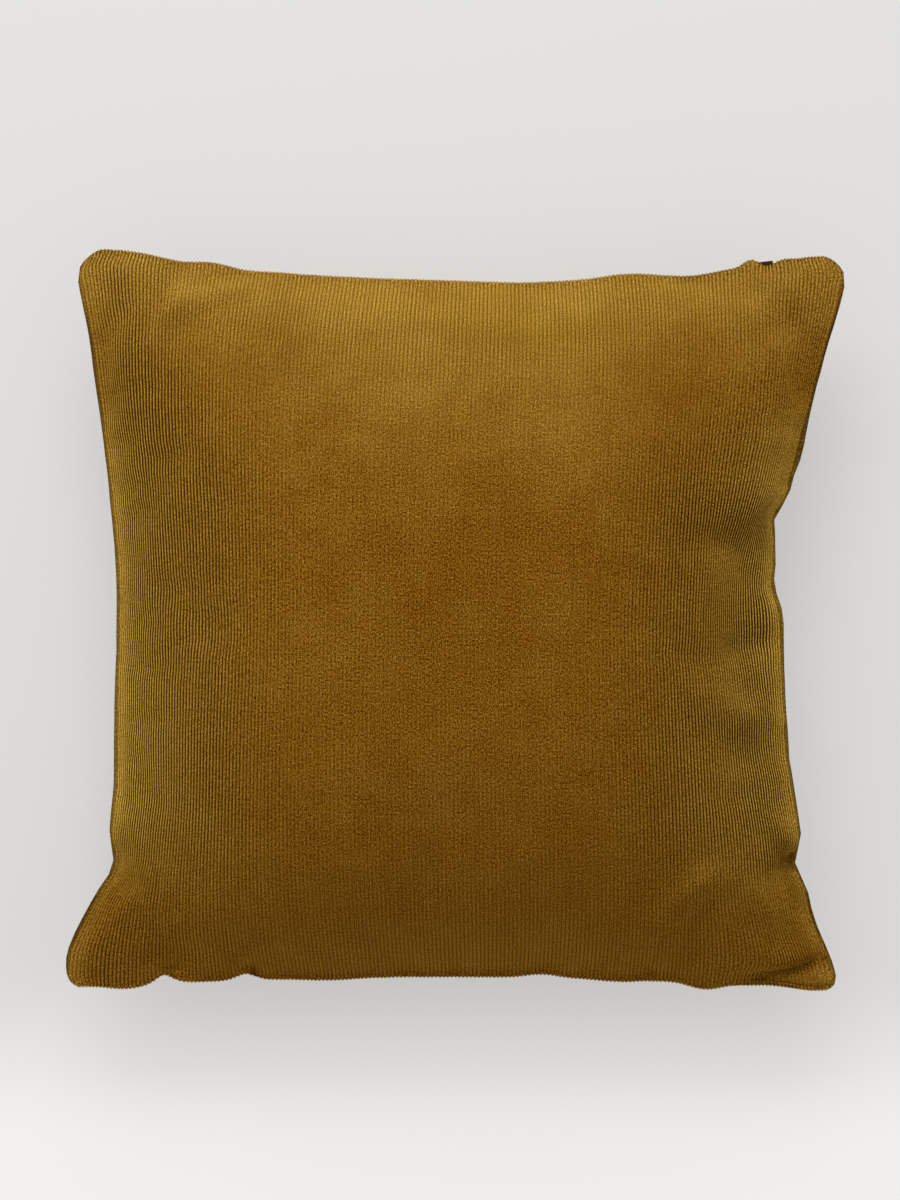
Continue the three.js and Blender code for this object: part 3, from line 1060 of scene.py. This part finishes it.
def make_tape_cloth(settings):
    """Tight twill tape"""
    material, tree, shader = new_material("zip_tape_twill")
    place = tree.nodes.new("ShaderNodeTexCoord").outputs["Object"]
    twill = tree.nodes.new("ShaderNodeTexWave")
    twill.bands_direction = "DIAGONAL"
    twill.inputs["Scale"].default_value = 900.0
    twill.inputs["Distortion"].default_value = 0.6
    tree.links.new(place, twill.inputs["Vector"])
    dark = tuple(0.55 * c for c in settings.tape_color)
    color = mix_color(tree, twill.outputs["Fac"], dark, tuple(settings.tape_color))
    tree.links.new(color, shader.inputs["Base Color"])
    bump = tree.nodes.new("ShaderNodeBump")
    bump.inputs["Strength"].default_value = 0.5
    bump.inputs["Distance"].default_value = 0.0001
    tree.links.new(twill.outputs["Fac"], bump.inputs["Height"])
    tree.links.new(bump.outputs[0], shader.inputs["Normal"])
    shader.inputs["Roughness"].default_value = 0.9
    shader.inputs["Specular IOR Level"].default_value = 0.1
    return material


def make_floor_paint(settings):
    """Pale matt paint that glows faintly, a little more past the cushion's bottom edge"""
    material, tree, shader = new_material("studio_floor")
    place = tree.nodes.new("ShaderNodeTexCoord").outputs["Object"]
    grain = noise(tree, place, 3.0, 2.0, 0.5)
    pale = tuple(settings.floor_color)
    color = mix_color(tree, grain, pale, tuple(0.99 * c for c in pale))
    tree.links.new(color, shader.inputs["Base Color"])
    shader.inputs["Roughness"].default_value = 0.9
    shader.inputs["Emission Color"].default_value = (1.0, 0.99, 0.97, 1.0)
    split = tree.nodes.new("ShaderNodeSeparateXYZ")
    tree.links.new(place, split.inputs[0])
    # painted light: the floor glows more past the cushion's bottom edge, where the cushion's shadow falls, so
    # that shadow stays faint
    below = math_node(tree, "MULTIPLY", split.outputs["Y"], -1.0)
    near = ramp(tree, below, FLOOR_GLOW_NEAR.start, FLOOR_GLOW_NEAR.full)
    glow = math_node(tree, "MULTIPLY_ADD", near, FLOOR_GLOW_NEAR.amount, settings.floor_glow)
    tree.links.new(glow, shader.inputs["Emission Strength"])
    return material


class CUSHION_OT_make_cushion(bpy.types.Operator):
    """Make the filled cover with its wales, folds and seam"""

    bl_idname = "cushion.make_cushion"
    bl_label = "Cushion"

    def execute(self, context):
        settings = context.scene.cushion_settings
        cap = settings.settle_cap / MM
        sizes = (settings.groove / MM, settings.roll / MM, settings.wale_height / MM)
        s, front_s, t, front, back = cover_points(cap, *sizes)
        facing = facing_light(*plan(front_s, t))
        mesh, front_ids, back_ids = closed_mesh("corduroy_cushion", front, back, BACK_STEP)
        values = {
            "wale": (s + 1) / 2 * WALES,
            "length": (t + 1) / 2 * WALES,
            "valley_shade": valley_openness_and_shade(front_s, t, facing),
            "front_shade": seam_shade(s, t, True),
            "back_shade": seam_shade(s, t, False),
            "nap_and_painted_light": painted_light_and_nap(front_s, t, facing),
            "front_edge": from_seam(s, t) > FRONT_EDGE,
            "back_edge": from_seam(s, t) > BACK_EDGE,
        }

        def per_point(name_front, name_back):
            total = np.empty(len(mesh.vertices), np.float32)
            total[back_ids.ravel()] = values[name_back][::BACK_STEP].ravel()
            total[front_ids.ravel()] = values[name_front].ravel()
            return total

        corner_points = np.empty(len(mesh.loops), np.int32)
        mesh.loops.foreach_get("vertex_index", corner_points)
        uv = np.stack([per_point("wale", "wale"), per_point("length", "length")], -1)[corner_points]
        mesh.uv_layers.new(name="cloth").data.foreach_set("uv", uv.ravel())
        for name, front_name, back_name in (
            ("valley_shade", "valley_shade", "valley_shade"),
            ("nap_and_painted_light", "nap_and_painted_light", "nap_and_painted_light"),
            ("seam_shade", "front_shade", "back_shade"),
        ):
            attribute = mesh.attributes.new(name, "FLOAT", "POINT")
            attribute.data.foreach_set("value", per_point(front_name, back_name))
        mesh.shade_smooth()
        cushion = link(bpy.data.objects.new("corduroy_cushion", mesh))
        cushion.data.materials.append(make_corduroy(settings, "corduroy_pile", 1.0))
        cushion.data.materials.append(make_corduroy(settings, "corduroy_seam_edge", SEAM_GLOSS))
        edge = per_point("front_edge", "back_edge")[corner_points]
        starts = np.empty(len(mesh.polygons), np.int32)
        mesh.polygons.foreach_get("loop_start", starts)
        at_seam = np.maximum.reduceat(edge, starts) < 0.5
        mesh.polygons.foreach_set("material_index", at_seam.astype(np.int32))
        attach(cushion, "root")
        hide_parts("cushion")
        return {"FINISHED"}


class CUSHION_OT_make_zip_end(bpy.types.Operator):
    """Make the end of the zip tape in the top edge's seam"""

    bl_idname = "cushion.make_zip_end"
    bl_label = "Zip end"

    def execute(self, context):
        settings = context.scene.cushion_settings
        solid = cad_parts["zip_end"]
        bpy.ops.object.select_all(action="DESELECT")
        tape = link(bpy.data.objects.new("zip_tape_end", solid.data.copy()))
        context.view_layer.objects.active = tape
        tape.select_set(True)
        bpy.ops.object.mode_set(mode="EDIT")
        bpy.ops.mesh.select_all(action="SELECT")
        bpy.ops.mesh.remove_doubles(threshold=TAPE_WELD)
        bpy.ops.mesh.dissolve_limited(angle_limit=0.01)
        bpy.ops.mesh.bevel(offset=TAPE_BEVEL, segments=3, affect="EDGES")
        bpy.ops.mesh.normals_make_consistent(inside=False)
        bpy.ops.object.mode_set(mode="OBJECT")
        tape.data.materials.clear()
        tape.data.materials.append(make_tape_cloth(settings))
        bpy.ops.object.shade_smooth_by_angle(angle=math.radians(40))
        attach(tape, "root")
        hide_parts("zip_end")
        return {"FINISHED"}


def photo_point(pixel_x, pixel_y, height):
    """A place on the photograph, as a point of the part at the seam's height"""
    x = (pixel_x - PHOTO_MIDDLE[0]) / PIXELS_PER_METRE
    y = (PHOTO_MIDDLE[1] - pixel_y) / PIXELS_PER_METRE
    return Vector((x, y, height))


class CUSHION_OT_make_stage(bpy.types.Operator):
    """Make the camera, the floor and the lights"""

    bl_idname = "cushion.make_stage"
    bl_label = "Stage"

    def execute(self, context):
        settings = context.scene.stage_settings
        scene = context.scene
        camera_data = bpy.data.cameras.new("photo_camera")
        camera = link(bpy.data.objects.new("photo_camera", camera_data))
        camera_data.lens = LENS
        camera_data.sensor_fit = "VERTICAL"
        camera_data.sensor_height = SENSOR_HEIGHT
        view_height = PHOTO_SIZE[1] / PIXELS_PER_METRE
        distance = view_height * camera_data.lens / camera_data.sensor_height
        seam = SEAM_HEIGHT * MM
        camera.location = photo_point(PHOTO_SIZE[0] / 2, PHOTO_SIZE[1] / 2, seam + distance)
        scene.camera = camera

        bpy.ops.object.select_all(action="DESELECT")
        bpy.ops.mesh.primitive_plane_add(size=FLOOR_SIZE, location=(0, 0, 0))
        floor = context.active_object
        floor.name = "studio_floor"
        floor.data.materials.append(make_floor_paint(settings))

        key_data = bpy.data.lights.new("softbox", "AREA")
        key_data.shape = "RECTANGLE"
        key_data.size, key_data.size_y = KEY_SIZE
        key_data.energy = settings.key_power
        key = link(bpy.data.objects.new("softbox", key_data))
        key.location = KEY_PLACE
        aim = Vector((0, 0, seam)) - key.location
        key.rotation_euler = aim.to_track_quat("-Z", "Y").to_euler()

        world = bpy.data.worlds.new("even_light")
        scene.world = world
        world.use_nodes = True
        tree = world.node_tree
        sky = tree.nodes["Background"]
        sky.inputs["Color"].default_value = (1.0, 0.99, 0.975, 1.0)
        split = tree.nodes.new("ShaderNodeSeparateXYZ")
        tree.links.new(tree.nodes.new("ShaderNodeTexCoord").outputs["Generated"], split.inputs[0])
        height = math_node(tree, "ADD", ramp(tree, split.outputs["Z"], *SKY_RISE), SKY_BELOW)
        strength = math_node(tree, "MULTIPLY", height, settings.sky_strength)
        tree.links.new(strength, sky.inputs["Strength"])
        scene.view_settings.view_transform = "Standard"
        return {"FINISHED"}


class CUSHION_PT_panel(bpy.types.Panel):
    """Lists the cushion's pieces and its sizes"""

    bl_idname = "CUSHION_PT_panel"
    bl_label = "Cushion"
    bl_space_type = "VIEW_3D"
    bl_region_type = "UI"
    bl_category = "Cushion"

    def draw(self, context):
        for settings in (context.scene.cushion_settings, context.scene.stage_settings):
            for name in settings.__annotations__:
                self.layout.prop(settings, name)
        for operator in OPERATORS:
            self.layout.operator(operator.bl_idname)


OPERATORS = (CUSHION_OT_make_stage, CUSHION_OT_make_cushion, CUSHION_OT_make_zip_end)
CLASSES = (CushionSettings, StageSettings, *OPERATORS, CUSHION_PT_panel)


def register():
    for item in CLASSES:
        bpy.utils.register_class(item)
    bpy.types.Scene.cushion_settings = bpy.props.PointerProperty(type=CushionSettings)
    bpy.types.Scene.stage_settings = bpy.props.PointerProperty(type=StageSettings)


def unregister():
    del bpy.types.Scene.cushion_settings
    del bpy.types.Scene.stage_settings
    for item in reversed(CLASSES):
        bpy.utils.unregister_class(item)


def main():
    register()
    bpy.ops.cushion.make_stage()
    bpy.ops.cushion.make_cushion()
    bpy.ops.cushion.make_zip_end()


if __name__ == "__main__":
    main()
